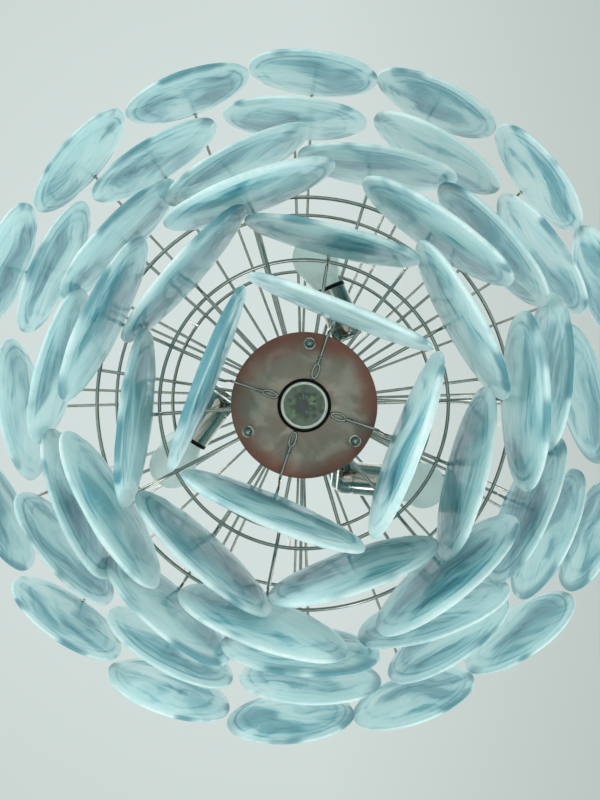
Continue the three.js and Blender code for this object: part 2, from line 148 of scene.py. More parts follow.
class Finish:
    """A material under one name, with its Principled shader and the nodes that feed it."""

    def __init__(self, name, **uniform):
        self.material = bpy.data.materials.new(name)
        self.material.use_nodes = True
        self.tree = self.material.node_tree
        self.shader = self.tree.nodes["Principled BSDF"]
        for socket, value in uniform.items():
            self.shader.inputs[socket.replace("_", " ")].default_value = value

    def node(self, kind, settings=None, values=None, result=0):
        """Adds a node: its settings or stops first, then the value or link of each socket."""
        made = self.tree.nodes.new(kind)
        for name, setting in (settings or {}).items():
            if name == "stops":
                self.set_stops(made.color_ramp, setting)
            else:
                setattr(made, name, setting)
        for socket, value in (values or {}).items():
            if isinstance(value, Value):
                self.tree.links.new(value.socket, made.inputs[socket])
            else:
                made.inputs[socket].default_value = value
        return Value(self, made.outputs[result])

    def feed(self, **values):
        """Links values to the shader's sockets."""
        for socket, value in values.items():
            self.tree.links.new(value.socket, self.shader.inputs[socket.replace("_", " ")])

    def set_stops(self, ramp, stops):
        """Gives a colour ramp its (place, colour) stops."""
        for extra in range(len(stops) - 2):
            ramp.elements.new(0.5)
        for element, (place, colour) in zip(ramp.elements, stops):
            element.position = place
            element.color = (*colour, 1)

    def between(self, value, low, high):
        """0 below low, 1 above high and a smooth step between."""
        return self.node(
            "ShaderNodeMapRange",
            {"interpolation_type": "SMOOTHSTEP"},
            {0: value, 1: low, 2: high},
        )

    def mix(self, factor, first, second):
        """A colour between two others."""
        ends = [end if isinstance(end, Value) else (*end, 1) for end in (first, second)]
        values = {0: factor, 6: ends[0], 7: ends[1]}
        return self.node("ShaderNodeMix", {"data_type": "RGBA"}, values, 2)

    def noise(self, place, scale, detail=3, roughness=0.5, distortion=0, result=0):
        return self.node(
            "ShaderNodeTexNoise",
            {},
            {"Vector": place, "Scale": scale, "Detail": detail, "Roughness": roughness,
             "Distortion": distortion},
            result,
        )

    def bump(self, height, strength, distance):
        self.feed(Normal=self.node(
            "ShaderNodeBump",
            {},
            {"Strength": strength, "Distance": distance, "Height": height},
        ))

    def let_light_through(self, share, colour):
        """Mixes in a share of light that passes through, as milky glass lets it."""
        own = Value(self, self.shader.outputs[0])
        through = self.node("ShaderNodeBsdfTranslucent", {}, {"Color": (*colour, 1)})
        blend = self.node("ShaderNodeMixShader", {}, {0: share, 1: own, 2: through})
        self.tree.links.new(blend.socket, self.tree.nodes["Material Output"].inputs[0])

    def stretched(self, place, scale):
        return self.node("ShaderNodeVectorMath", {"operation": "MULTIPLY"}, {0: place, 1: scale})

    def moved(self, place, offset):
        return self.node("ShaderNodeVectorMath", {"operation": "ADD"}, {0: place, 1: offset})

    def length(self, vector):
        return self.node("ShaderNodeVectorMath", {"operation": "LENGTH"}, {0: vector}, 1)

    def coordinates(self, name="Object"):
        return self.node("ShaderNodeTexCoord", {}, {}, {"UV": 2, "Object": 3}[name])


def finish_piece(name, mesh, finish, body="frame", stands_for=()):
    """Puts a finished mesh on its body, in place of the CAD nodes that it stands for."""
    mesh.name = name
    mesh.materials.clear()
    mesh.materials.append(finish.material)
    piece = bpy.data.objects.new(name, mesh)
    scene.collection.objects.link(piece)
    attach(piece, body)
    if stands_for:
        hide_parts(*stands_for)
    return piece


glass = Finish(
    "marbled_glass",
    Transmission_Weight=0.14,
    IOR=1.2,
    Coat_Weight=0.5,
    Coat_Roughness=0.12,
    Coat_IOR=1.3,
)
flat = glass.stretched(glass.moved(glass.coordinates("UV"), (-0.5, -0.5, 0)), (2, 2, 2))
cast = glass.node("ShaderNodeAttribute", {"attribute_name": "cast"}, {}, 1)
melt = glass.moved(flat, cast)
drift = glass.moved(glass.noise(melt, 0.8, 2, 0.4, 0, 1), (-0.5, -0.5, -0.5))
pulled = glass.moved(melt, glass.stretched(drift, (1.9, 1.9, 1.9)))
clouds = glass.between(glass.noise(glass.stretched(pulled, (0.8, 1.2, 1)), 1.0, 2, 0.4), 0.36, 0.64)
strands = glass.between(
    glass.noise(glass.stretched(pulled, (0.5, 3.4, 1)), 1.5, 5, 0.55), 0.34, 0.68
)
hairs = glass.between(
    glass.noise(glass.stretched(pulled, (0.7, 4, 1)), 2.6, 6, 0.72), 0.3, 0.72
)
wisps = glass.between(
    glass.noise(glass.stretched(pulled, (0.8, 1.8, 1)), 1.7, 4, 0.55), 0.55, 0.7
)
outwards = glass.length(flat)
curl_place = outwards + glass.noise(melt, 1.3, 2) * 0.5
curls = glass.between(curl_place, 0.93, 0.98) * glass.between(curl_place, 1.06, 0.99)
clear_edge = glass.between(outwards, 1.02, 0.6)
shade = (clouds * 0.44 + strands * 0.18 + wisps * 0.3 + curls * 0.14) * (clear_edge * 0.75 + 0.25)
fold = glass.between(outwards, 0.83, 0.87) * glass.between(outwards, 0.9, 0.875)
smoke = shade + hairs * 0.16 + fold * clouds * 0.3
smoke_colours = [
    (0.06, (0.92, 0.99, 0.98)),
    (0.26, (0.62, 0.84, 0.85)),
    (0.5, (0.14, 0.46, 0.53)),
    (0.8, (0.01, 0.2, 0.28)),
]
body_colour = glass.node("ShaderNodeValToRGB", {"stops": smoke_colours}, {0: smoke})
rim_patch = glass.between(glass.noise(melt, 1.2, 2), 0.5, 0.62)
# Painted shade: dark teal in patches along each disc's rim, standing for the rim's shaded, edge-on glass.
painted_rim_shade = glass.between(outwards, 0.84, 0.95) * rim_patch * 0.9
rim_shaded_colour = glass.mix(painted_rim_shade, body_colour, (0.0, 0.2, 0.27))
# Painted highlight: a thin near-white line just inside each disc's rim, left out where the rim's dark
# patches are.
painted_rim_highlight = glass.between(outwards, 0.91, 0.94) * glass.between(outwards, 0.98, 0.95)
glass.feed(
    Base_Color=glass.mix(painted_rim_highlight * (1 - rim_patch) * 0.7, rim_shaded_colour, (0.95, 1.0, 1.0)),
    Roughness=glass.noise(melt, 5, 3) * 0.12 + 0.36,
)
glass.bump(glass.noise(melt, 1.6, 2, 0.4) + hairs * 0.08, 0.2, 0.003)
glass.let_light_through(0.46 - smoke * 0.45, (0.68, 0.89, 0.9))


def disc_outline():
    """Half the section of a disc, from the middle of its front to the middle of its back."""
    bead = DISC_RIM / 2
    edge = DISC_RADIUS - bead
    shares = [step / FACE_STEPS for step in range(FACE_STEPS)]
    fall = (DISC_RIM - DISC_MIDDLE) / 2
    front = [(edge * share, DISC_MIDDLE / 2 + fall * share ** 2.2) for share in shares]
    round_edge = [
        (edge + bead * math.sin(turn), bead * math.cos(turn))
        for turn in (math.pi * share for share in [*shares, 1])
    ]
    back = [(radius, -thick) for radius, thick in reversed(front)]
    return front + round_edge + back


def turned(outline, segments=64):
    """A closed mesh turned from (radius, height) points, with its axis along Z."""
    shape = bmesh.new()
    rings = []
    for radius, height in outline:
        if radius < 1e-7:
            rings.append([shape.verts.new((0, 0, height))])
            continue
        turns = (2 * math.pi * step / segments for step in range(segments))
        rings.append([
            shape.verts.new((radius * math.cos(turn), radius * math.sin(turn), height))
            for turn in turns
        ])
    closed = len(rings[0]) > 1
    pairs = list(zip(rings, rings[1:] + rings[:1])) if closed else list(zip(rings, rings[1:]))
    for first, second in pairs:
        for step in range(segments):
            after = (step + 1) % segments
            corners = [first[step % len(first)], first[after % len(first)]]
            corners += [second[after % len(second)], second[step % len(second)]]
            shape.faces.new(dict.fromkeys(corners))
    bmesh.ops.recalc_face_normals(shape, faces=shape.faces)
    mesh = bpy.data.meshes.new("turned")
    shape.to_mesh(mesh)
    shape.free()
    mesh.shade_smooth()
    mesh.set_sharp_from_angle(angle=math.radians(SHARP_ANGLE))
    return mesh


def drilled_disc():
    """One disc standing on edge and facing +X, its middle at the origin, with flat UVs."""
    lens = bpy.data.objects.new("lens", turned(disc_outline(), DISC_SEGMENTS))
    deep = 2 * DISC_MIDDLE
    drill_outline = [(0, -deep), (HOLE_RADIUS, -deep), (HOLE_RADIUS, deep), (0, deep)]
    drill = bpy.data.objects.new("drill", turned(drill_outline, DRILL_SEGMENTS))
    drill.data.transform(Matrix.Translation((0, HOLE_RISE, 0)))
    for tool in (lens, drill):
        scene.collection.objects.link(tool)
    cut = lens.modifiers.new("hole", "BOOLEAN")
    cut.operation = "DIFFERENCE"
    cut.object = drill
    mesh = plain_mesh(lens)
    uvs = mesh.uv_layers.new(name="flat")
    for loop in mesh.loops:
        place = mesh.vertices[loop.vertex_index].co
        uvs.data[loop.index].uv = (place.x / DISC_RADIUS / 2 + 0.5, place.y / DISC_RADIUS / 2 + 0.5)
    mesh.transform(Matrix(((0, 0, 1), (1, 0, 0), (0, 1, 0))).to_4x4())
    mesh.shade_smooth()
    mesh.set_sharp_from_angle(angle=math.radians(SHARP_ANGLE))
    for tool in (lens, drill):
        bpy.data.objects.remove(tool)
    return mesh


def plain_mesh(host):
    """The mesh that an object's modifiers make, on its own."""
    graph = bpy.context.evaluated_depsgraph_get()
    return bpy.data.meshes.new_from_object(host.evaluated_get(graph), depsgraph=graph)


class Tree:
    """A Geometry Nodes tree with named inputs."""

    def __init__(self, name, inputs):
        self.group = bpy.data.node_groups.new(name, "GeometryNodeTree")
        interface = self.group.interface
        interface.new_socket("Geometry", in_out="INPUT", socket_type="NodeSocketGeometry")
        for title, kind in inputs.items():
            interface.new_socket(title, in_out="INPUT", socket_type="NodeSocket" + kind)
        interface.new_socket("Geometry", in_out="OUTPUT", socket_type="NodeSocketGeometry")
        self.inputs = self.group.nodes.new("NodeGroupInput")
        self.outputs = self.group.nodes.new("NodeGroupOutput")

    def given(self, title):
        return self.inputs.outputs[title]

    def node(self, kind, settings=None, values=None, result=0):
        made = self.group.nodes.new(kind)
        for name, setting in (settings or {}).items():
            setattr(made, name, setting)
        for socket, value in (values or {}).items():
            if isinstance(value, bpy.types.NodeSocket):
                self.group.links.new(value, made.inputs[socket])
            else:
                made.inputs[socket].default_value = value
        return made.outputs[result]

    def maths(self, operation, left, right=0.0):
        return self.node("ShaderNodeMath", {"operation": operation}, {0: left, 1: right})

    def ends_with(self, geometry):
        """Realize Instances and Set Material close every tree."""
        real = self.node("GeometryNodeRealizeInstances", {}, {0: geometry})
        dressed = self.node(
            "GeometryNodeSetMaterial", {}, {"Geometry": real, "Material": self.given("Material")}
        )
        self.group.links.new(dressed, self.outputs.inputs[0])

    def made(self, mesh, **values):
        """Runs the tree on a mesh and gives the result as a plain mesh."""
        host = bpy.data.objects.new("host", mesh)
        scene.collection.objects.link(host)
        modifier = host.modifiers.new("tree", "NODES")
        modifier.node_group = self.group
        for item in self.group.interface.items_tree:
            title = item.name.replace(" ", "_")
            if item.in_out == "INPUT" and title in values:
                modifier[item.identifier] = values[title]
        result = plain_mesh(host)
        host.modifiers.remove(modifier)
        bpy.data.objects.remove(host)
        return result


# A tier is one disc copied to each of its points and turned to the point's "facing". Each copy has
# its own place in the melt, which the glass reads as "cast", and its own slight waves.
disc_tree = Tree("hung_discs", {
    "Disc": "Object",
    "Seed": "Int",
    "Wave": "Float",
    "Wave Scale": "Float",
    "Material": "Material",
})
facing = disc_tree.node(
    "GeometryNodeInputNamedAttribute", {"data_type": "FLOAT"}, {"Name": "facing"}
)
hung = disc_tree.node(
    "GeometryNodeInstanceOnPoints",
    {},
    {
        "Points": disc_tree.given("Geometry"),
        "Instance": disc_tree.node(
            "GeometryNodeObjectInfo", {}, {"Object": disc_tree.given("Disc")}, "Geometry"
        ),
        "Rotation": disc_tree.node("ShaderNodeCombineXYZ", {}, {2: facing}),
    },
)
random_cast = disc_tree.node(
    "FunctionNodeRandomValue",
    {"data_type": "FLOAT_VECTOR"},
    {0: (-40, -40, -40), 1: (40, 40, 40), "Seed": disc_tree.given("Seed")},
)
cast_discs = disc_tree.node(
    "GeometryNodeStoreNamedAttribute",
    {"data_type": "FLOAT_VECTOR", "domain": "INSTANCE"},
    {"Geometry": hung, "Name": "cast", "Value": random_cast},
)
ripple = disc_tree.node(
    "ShaderNodeTexNoise",
    {},
    {
        "Vector": disc_tree.node("GeometryNodeInputPosition"),
        "Scale": disc_tree.given("Wave Scale"),
        "Detail": 1.0,
    },
)
ripple_height = disc_tree.maths(
    "MULTIPLY", disc_tree.maths("SUBTRACT", ripple, 0.5), disc_tree.given("Wave")
)
rippled = disc_tree.node(
    "GeometryNodeSetPosition",
    {},
    {
        "Geometry": disc_tree.node("GeometryNodeRealizeInstances", {}, {0: cast_discs}),
        "Offset": disc_tree.node(
            "ShaderNodeVectorMath",
            {"operation": "SCALE"},
            {0: disc_tree.node("GeometryNodeInputNormal"), "Scale": ripple_height},
        ),
    },
)
disc_tree.ends_with(rippled)
disc_pattern = bpy.data.objects.new("disc_pattern", drilled_disc())
scene.collection.objects.link(disc_pattern)


def hang_discs(node, places, body, seed):
    """Discs at (middle, facing) places, as one piece in place of a CAD node."""
    points = bpy.data.meshes.new("places")
    points.from_pydata([middle for middle, turn in places], [], [])
    turns = points.attributes.new("facing", "FLOAT", "POINT")
    for point, (middle, turn) in zip(turns.data, places):
        point.value = turn
    mesh = disc_tree.made(
        points,
        Disc=disc_pattern,
        Seed=seed,
        Wave=WAVE,
        Wave_Scale=WAVE_SCALE,
        Material=glass.material,
    )
    finish_piece("glass_" + node, mesh, glass, body, [node])


for number, joint in enumerate(frame["joints"]):
    middle = Vector(joint["pos_m"]) - Vector((0, 0, HOOK_RISE))
    axis = joint["axis"]
    hang_discs(joint["child"], [(middle, math.atan2(axis[1], axis[0]))], joint["child"], number)

FIXED_TIER_SEED = 200
for tier, facts in TIERS.items():
    node = f"discs_tier_{tier}"
    low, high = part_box(node)
    places = []
    for number, yaw in enumerate(facts["yaws"]):
        angle = facts["first"] + 360 / len(facts["yaws"]) * number
        turn = math.radians(angle)
        middle = (facts["radius"] * math.cos(turn), facts["radius"] * math.sin(turn))
        places.append(((*middle, (low.z + high.z) / 2), math.radians(angle + yaw)))
    hang_discs(node, places, "frame", FIXED_TIER_SEED + tier)
bpy.data.objects.remove(disc_pattern)

# ---------------------------------------------------------------- wire wheels
# Four wheels of chromed steel wire: straight spokes welded to a hub, bent at their ends into the
# hooks that carry the discs. The two middle wheels have two rings each, with bars between them.
WIRE_RADIUS = 0.0018
BEND_RADIUS = 0.003
HOOK_REACH = 0.008
HOOK_DIP = 0.004
HOOK_TIP = 0.008
HOOK_DROP = 0.010  # from a wheel's spokes down to the wire in the discs' holes
INNER_RING = 0.142
OUTER_RING = 0.203
RING_POINTS = 120
WIRE_SIDES = 12
BEND_STEPS = 5

chrome = Finish("chrome", Metallic=1.0)
chrome_place = chrome.coordinates()
chrome_haze = chrome.noise(chrome_place, 60, 4, 0.6)
chrome_specks = chrome.between(chrome.noise(chrome_place, 420, 2, 0.6), 0.63, 0.75)
chrome.feed(
    Base_Color=chrome.mix(
        chrome_specks * 0.5,
        chrome.mix(chrome_haze, (0.24, 0.24, 0.2), (0.58, 0.58, 0.53)),
        (0.16, 0.15, 0.12),
    ),
    Roughness=chrome_haze * 0.14 + chrome_specks * 0.25 + 0.05,
)
chrome.bump(chrome.noise(chrome_place, 900, 2), 0.12, 0.0004)

# The wire is drawn along its middle line, its corners rounded as in a bending jig, and copied
# round the stem.
wire_tree = Tree("bent_wires", {
    "Count": "Int",
    "First": "Float",
    "Wire": "Float",
    "Bend": "Float",
    "Material": "Material",
})
wire_line = wire_tree.node("GeometryNodeMeshToCurve", {}, {"Mesh": wire_tree.given("Geometry")})
wire_bent = wire_tree.node(
    "GeometryNodeFilletCurve",
    {"mode": "POLY"},
    {"Curve": wire_line, "Count": BEND_STEPS, "Radius": wire_tree.given("Bend"),
     "Limit Radius": True},
)
wire_section = wire_tree.node(
    "GeometryNodeCurvePrimitiveCircle",
    {"mode": "RADIUS"},
    {"Resolution": WIRE_SIDES, "Radius": wire_tree.given("Wire")},
)
wire_solid = wire_tree.node(
    "GeometryNodeCurveToMesh",
    {},
    {"Curve": wire_bent, "Profile Curve": wire_section, "Fill Caps": True},
)
wire_smooth = wire_tree.node("GeometryNodeSetShadeSmooth", {}, {"Geometry": wire_solid})
wire_share = wire_tree.maths(
    "DIVIDE", wire_tree.node("GeometryNodeInputIndex"), wire_tree.given("Count")
)
wire_turn = wire_tree.maths(
    "ADD", wire_tree.maths("MULTIPLY", wire_share, 2 * math.pi), wire_tree.given("First")
)
wire_copies = wire_tree.node(
    "GeometryNodeInstanceOnPoints",
    {},
    {
        "Points": wire_tree.node(
            "GeometryNodeMeshLine",
            {},
            {"Count": wire_tree.given("Count"), "Offset": (0, 0, 0)},
        ),
        "Instance": wire_smooth,
        "Rotation": wire_tree.node("ShaderNodeCombineXYZ", {}, {2: wire_turn}),
    },
)
wire_tree.ends_with(wire_copies)


def line_mesh(points, closed=False):
    """An edge from each (x, y, z) point to the next."""
    mesh = bpy.data.meshes.new("line")
    edges = [(step, step + 1) for step in range(len(points) - 1)]
    if closed:
        edges.append((len(points) - 1, 0))
    mesh.from_pydata(points, edges, [])
    return mesh


def wires(corners, count=1, first=0.0, wire=WIRE_RADIUS, bend=BEND_RADIUS):
    """Copies of a wire bent through (radius, height) corners, spaced evenly round the stem."""
    line = line_mesh([(radius, 0, height) for radius, height in corners])
    return wire_tree.made(
        line, Count=count, First=math.radians(first), Wire=wire, Bend=bend, Material=chrome.material
    )


def ring(radius, height, wire=WIRE_RADIUS):
    """A closed round of wire about the stem."""
    turns = [2 * math.pi * step / RING_POINTS for step in range(RING_POINTS)]
    line = line_mesh([(radius * math.cos(t), radius * math.sin(t), height) for t in turns], True)
    return wire_tree.made(line, Count=1, First=0.0, Wire=wire, Bend=0.0, Material=chrome.material)


def merged(meshes):
    """Several meshes as one, with no faces joined."""
    shape = bmesh.new()
    for mesh in meshes:
        shape.from_mesh(mesh)
    whole = bpy.data.meshes.new("merged")
    shape.to_mesh(whole)
    shape.free()
    return whole


def hook_corners(radius, low, tip=HOOK_TIP):
    """A hook's U, which dips to low where the disc hangs and turns up at its end."""
    return [
        (radius - HOOK_REACH, low + HOOK_DIP),
        (radius - HOOK_REACH / 2, low),
        (radius + HOOK_REACH / 2, low),
        (radius + HOOK_REACH, low + HOOK_DIP),
        (radius + HOOK_REACH, low + tip),
    ]


def spokes(inner, level, radius, count, first):
    """Straight rods from a hub out to a tier's radius, each with a hook at its end."""
    bend = radius - HOOK_REACH - 0.002
    corners = [(inner, level), (bend, level), *hook_corners(radius, level - HOOK_DROP)]
    return wires(corners, count, first)


def chamfered_disc(radius, low, high, bore, chamfer=0.0008):
    """A hub: a flat round with its outer edges broken and a bore."""
    return turned([
        (bore, low),
        (radius - chamfer, low),
        (radius, low + chamfer),
        (radius, high - chamfer),
        (radius - chamfer, high),
        (bore, high),
    ])


SMALL_HUB = 0.018
HUB_HALF = 0.004
HUB_WELD = 0.002  # how far a spoke's end is sunk in its hub
BORE = 0.0073
for node, tier in (("top_wheel", 6), ("fifth_wheel", 5)):
    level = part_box(node)[1].z - HUB_HALF
    hub = chamfered_disc(SMALL_HUB, level - HUB_HALF, level + HUB_HALF, BORE)
    facts = TIERS[tier]
    rods = spokes(SMALL_HUB - HUB_WELD, level, facts["radius"], len(facts["yaws"]), facts["first"])
    finish_piece(node + "_wires", merged([hub, rods]), chrome, "frame", [node])

WIDE_HUB = 0.066
SHEET = 0.004
GAP = 0.0003
NUT_HEIGHT = 0.005
CAGE_HEIGHT = 0.099
upper_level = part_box("stud_1")[1].z - NUT_HEIGHT - GAP - SHEET / 2
lower_level = upper_level - CAGE_HEIGHT
fourth = TIERS[4]
upper_parts = [
    chamfered_disc(WIDE_HUB, upper_level - SHEET / 2, upper_level + SHEET / 2, BORE),
    spokes(
        WIDE_HUB - HUB_WELD, upper_level, fourth["radius"], len(fourth["yaws"]), fourth["first"]
    ),
    ring(INNER_RING, upper_level + WIRE_RADIUS),
    ring(OUTER_RING, upper_level + WIRE_RADIUS),
]
finish_piece("upper_wheel_wires", merged(upper_parts), chrome, "frame", ["upper_wheel"])

THIRD_TIER = 0.194
THIRD_TIER_FIRST = -1.8
THIRD_TIER_COUNT = 7
THIRD_TIP = 0.0045
CAGE_BARS = 3
LAMP_FIRST = -84  # angle of the first lower lamp
LAMP_COUNT = 3
lamp_step = 360 / LAMP_COUNT
CAGE_FIRST = LAMP_FIRST + lamp_step / 2
HUB_HOLE = 0.04
ring_level = lower_level + WIRE_RADIUS
bar_top = upper_level - WIRE_RADIUS - GAP
hub_edge = WIDE_HUB - HUB_WELD
third_spoke = [(hub_edge, lower_level), (OUTER_RING, lower_level)]
third_hook = [(THIRD_TIER - HOOK_REACH, lower_level)]
third_hook += hook_corners(THIRD_TIER, lower_level - HOOK_DROP, THIRD_TIP)
lower_parts = [
    chamfered_disc(WIDE_HUB, lower_level - SHEET / 2, lower_level + SHEET / 2, HUB_HOLE),
    wires(third_spoke, THIRD_TIER_COUNT, THIRD_TIER_FIRST),
    wires(third_hook, THIRD_TIER_COUNT, THIRD_TIER_FIRST),
    ring(INNER_RING, ring_level),
    ring(OUTER_RING, ring_level),
    wires([(INNER_RING, ring_level), (INNER_RING, bar_top)], CAGE_BARS, CAGE_FIRST),
    wires([(OUTER_RING, ring_level), (OUTER_RING, bar_top)], CAGE_BARS, CAGE_FIRST + 30),
]
for joint in frame["joints"]:
    if joint["child"].startswith("disc_2_"):
        hinge = Vector(joint["pos_m"])
        angle = math.degrees(math.atan2(hinge.y, hinge.x))
        lower_parts.append(spokes(hub_edge, lower_level, hinge.xy.length, 1, angle))
finish_piece("lower_wheel_wires", merged(lower_parts), chrome, "frame", ["lower_wheel"])

# ---------------------------------------------------------------- stem, spacers and hanging eye
# A chromed tube carries the wheels, held apart by spacer tubes and clamped by a nut below.
# The eye is a welded ring of thick wire on a collar that screws into the tube.
STEM_RADIUS = 0.007
STEM_BORE = 0.0045
SPACER_RADIUS = 0.010
STEM_NUT_RADIUS = 0.0104
stem_low, stem_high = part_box("stem")
stem = turned([
    (STEM_BORE, stem_low.z),
    (STEM_RADIUS, stem_low.z),
    (STEM_RADIUS, stem_high.z),
    (STEM_BORE, stem_high.z),
])
finish_piece("stem_tube", stem, chrome, "frame", ["stem"])
for node in ("spacer_top", "spacer_middle", "spacer_bottom"):
    low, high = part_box(node)
    tube = chamfered_disc(SPACER_RADIUS, low.z, high.z, BORE)
    finish_piece(node + "_tube", tube, chrome, "frame", [node])


def hexagon_nut(radius, low, high, bore):
    """A six-sided nut with its corners turned off at both faces."""
    nut = turned([(bore, low), (radius, low), (radius, high), (bore, high)], 6)
    shape = bmesh.new()
    shape.from_mesh(nut)
    edges = [e for e in shape.edges if all(v.co.xy.length > radius * 0.9 for v in e.verts)]
    bmesh.ops.bevel(shape, geom=edges, offset=radius * 0.08, segments=2, affect="EDGES")
    shape.to_mesh(nut)
    shape.free()
    nut.set_sharp_from_angle(angle=math.radians(25))
    return nut


low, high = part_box("stem_nut")
nut = hexagon_nut(STEM_NUT_RADIUS, low.z, high.z, BORE)
finish_piece("stem_clamp_nut", nut, chrome, "frame", ["stem_nut"])

EYE_RADIUS = 0.014
EYE_WIRE = 0.003
EYE_POINTS = 48
eye_low, eye_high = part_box("hanging_eye")
eye_middle = eye_high.z - EYE_RADIUS - EYE_WIRE
eye_turns = [2 * math.pi * step / EYE_POINTS for step in range(EYE_POINTS)]
eye_line = line_mesh(
    [(EYE_RADIUS * math.cos(t), 0, eye_middle + EYE_RADIUS * math.sin(t)) for t in eye_turns], True
)
eye_ring = wire_tree.made(
    eye_line, Count=1, First=0.0, Wire=EYE_WIRE, Bend=0.0, Material=chrome.material
)
eye_collar = turned([
    (0, eye_low.z),
    (0.0042, eye_low.z),
    (0.0042, stem_high.z + 0.0003),
    (0.0075, stem_high.z + 0.0003),
    (0.008, stem_high.z + 0.0012),
    (0.008, stem_high.z + 0.006),
    (0.005, stem_high.z + 0.0095),
    (0.0035, eye_middle - EYE_RADIUS),
    (0, eye_middle - EYE_RADIUS),
])
finish_piece(
    "eye_and_collar", merged([eye_ring, eye_collar]), chrome, "frame", ["hanging_eye"]
)

# ---------------------------------------------------------------- cover plate
# A round of spun and brushed brown metal under the lower hub, with reddish heat tints at its rim.
plate = Finish("brown_plate", Metallic=0.8)
plate_place = plate.coordinates()
plate_out = plate.length(plate.stretched(plate_place, (1, 1, 0)))
plate_cloud = plate.noise(plate_place, 22, 4, 0.55)
plate_blotch = plate.between(plate.noise(plate_place, 38, 3, 0.5, 0.6), 0.42, 0.66)
plate_grain = plate.noise(plate.stretched(plate_place, (1, 9, 1)), 160, 4, 0.6)
plate_grit = plate.noise(plate_place, 900, 3, 0.6)
plate_red = plate.between(plate_out + plate_cloud * 0.05, 0.074, 0.098)
plate_base = plate.mix(plate_cloud, (0.22, 0.17, 0.13), (0.47, 0.37, 0.3))
# Lighter blotches: partly an uneven tone of the sheet, partly painted reflection of its uneven surface.
plate_tone_and_sheen = plate.mix(plate_blotch * 0.55, plate_base, (0.68, 0.54, 0.45))
plate.feed(
    Base_Color=plate.mix(plate_red * 0.8, plate_tone_and_sheen, (0.4, 0.12, 0.08)),
    Roughness=plate_cloud * 0.2 + plate_grit * 0.2 + 0.22,
)
plate.bump(plate_grain * 0.4 + plate_grit * 0.3 + plate_blotch, 0.35, 0.0006)
plate_low, plate_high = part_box("cover_plate")
PLATE_RADIUS = 0.071
PLATE_HOLE = 0.0232
PLATE_EDGE = 0.0008
PLATE_EDGE_RISE = 0.0006
plate_mesh = turned([
    (PLATE_HOLE, plate_low.z),
    (PLATE_RADIUS - PLATE_EDGE, plate_low.z),
    (PLATE_RADIUS, plate_low.z + PLATE_EDGE_RISE),
    (PLATE_RADIUS, plate_high.z - PLATE_EDGE_RISE),
    (PLATE_RADIUS - PLATE_EDGE, plate_high.z),
    (PLATE_HOLE, plate_high.z),
], 128)
finish_piece("brown_cover_plate", plate_mesh, plate, "frame", ["cover_plate"])

# ---------------------------------------------------------------- studs and dome nuts
# Three studs run from the upper hub down through the lower hub and the plate. Each ends in a
# chromed dome nut on a thin washer.
STUD_RADIUS = 0.003
STUD_NUT_RADIUS = 0.006
DOME_RADIUS = 0.0042
DOME_HEIGHT = 0.0045
DOME_STEPS = 8
for number in (1, 2, 3):
    low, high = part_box(f"stud_{number}")
    centre = (low + high) / 2
    rod = turned([(0, low.z), (STUD_RADIUS, low.z), (STUD_RADIUS, high.z), (0, high.z)], 24)
    head = hexagon_nut(STUD_NUT_RADIUS, high.z - NUT_HEIGHT, high.z, STUD_RADIUS)
    stud = merged([rod, head])
    stud.transform(Matrix.Translation((centre.x, centre.y, 0)))
    finish_piece(f"stud_rod_{number}", stud, chrome, "frame", [f"stud_{number}"])
    low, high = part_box(f"dome_nut_{number}")
    dome_rise = [
        (DOME_RADIUS * math.cos(turn), low.z + DOME_HEIGHT * (1 - math.sin(turn)))
        for turn in (math.pi / 2 * step / DOME_STEPS for step in range(DOME_STEPS))
    ]
    dome = turned([
        (0, low.z),
        *reversed(dome_rise),
        (0.0046, low.z + 0.0048),
        (0.0048, high.z - 0.0012),
        (0.0058, high.z - 0.001),
        (0.0058, high.z),
        (0, high.z),
    ], 40)
    dome.transform(Matrix.Translation((centre.x, centre.y, 0)))
    finish_piece(f"dome_cap_{number}", dome, chrome, "frame", [f"dome_nut_{number}"])

# ---------------------------------------------------------------- spot lamp in its black ring
# A small reflector lamp sits in a black ring in the plate: a clear front glass, a faceted bowl
# with a greenish mirror coat and painted reflections, and a capsule on its axis.
black = Finish("black_metal", Specular_IOR_Level=0.15)
black_place = black.coordinates()
black_haze = black.noise(black_place, 300, 3)
black.feed(
    Base_Color=black.mix(black_haze, (0.002, 0.003, 0.003), (0.01, 0.011, 0.01)),
    Roughness=black_haze * 0.2 + 0.5,
)
black.bump(black_haze, 0.1, 0.0003)
ring_low, ring_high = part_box("spot_ring")
SPOT_RADIUS = 0.0225
ring_mesh = turned([
    (SPOT_RADIUS + 0.0004, ring_low.z + 0.0014),
    (SPOT_RADIUS + 0.001, ring_low.z + 0.0004),
    (SPOT_RADIUS + 0.0026, ring_low.z),
    (SPOT_RADIUS + 0.0035, ring_low.z + 0.001),
    (SPOT_RADIUS + 0.0035, ring_high.z),
    (SPOT_RADIUS + 0.0004, ring_high.z),
], 96)
finish_piece("spot_black_ring", ring_mesh, black, "frame", ["spot_ring"])

